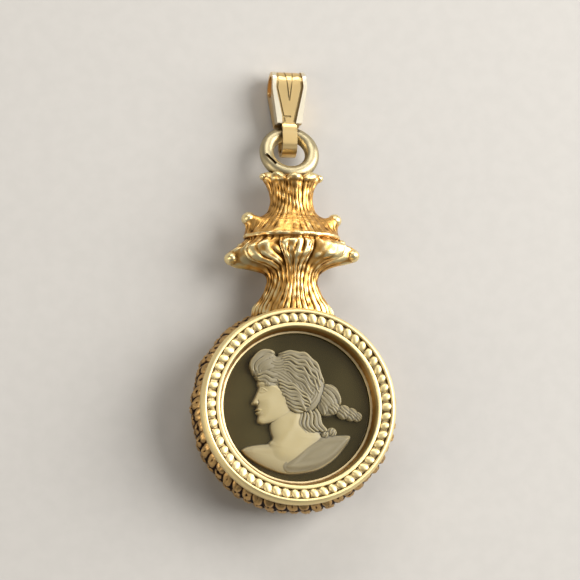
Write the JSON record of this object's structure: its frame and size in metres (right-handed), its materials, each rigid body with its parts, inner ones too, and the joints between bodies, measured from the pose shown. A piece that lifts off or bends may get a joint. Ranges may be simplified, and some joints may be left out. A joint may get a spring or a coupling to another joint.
{
  "type": "cameo pendant",
  "caption": "Cameo pendant: a leafy cast finial and ring on a round case, whose beaded bezel holds a smoky glass disc with a raised profile head, hung from a folded bail.",
  "frame": {"origin": "centre of the case's flat back, on the surface that the pendant lies on", "axes": "+X to the right of the pendant, +Y up to the bail, +Z out through the glass"},
  "size_m": [0.028, 0.0611, 0.009],
  "materials": {
    "antique_gold": "antiqued gold plate on cast brass",
    "pale_gold": "satin gold plate, worn pale on the beads",
    "bright_gold": "polished gold plate on folded sheet",
    "smoky_glass": "smoky olive-brown glass, polished",
    "frosted_glass": "frosted relief, milky beige"
  },
  "bodies": {
    "pendant": {"case": "antique_gold", "bezel": "pale_gold", "glass": "smoky_glass", "figure": "frosted_glass"},
    "bail": {"bail": "bright_gold"}
  },
  "joints": [
    {"name": "bail_swing", "type": "hinge", "parent": "pendant", "child": "bail", "pos_m": [0, 0.03825, 0.00236], "axis": [1, 0, 0], "range_deg": [-110, 75]}
  ]
}
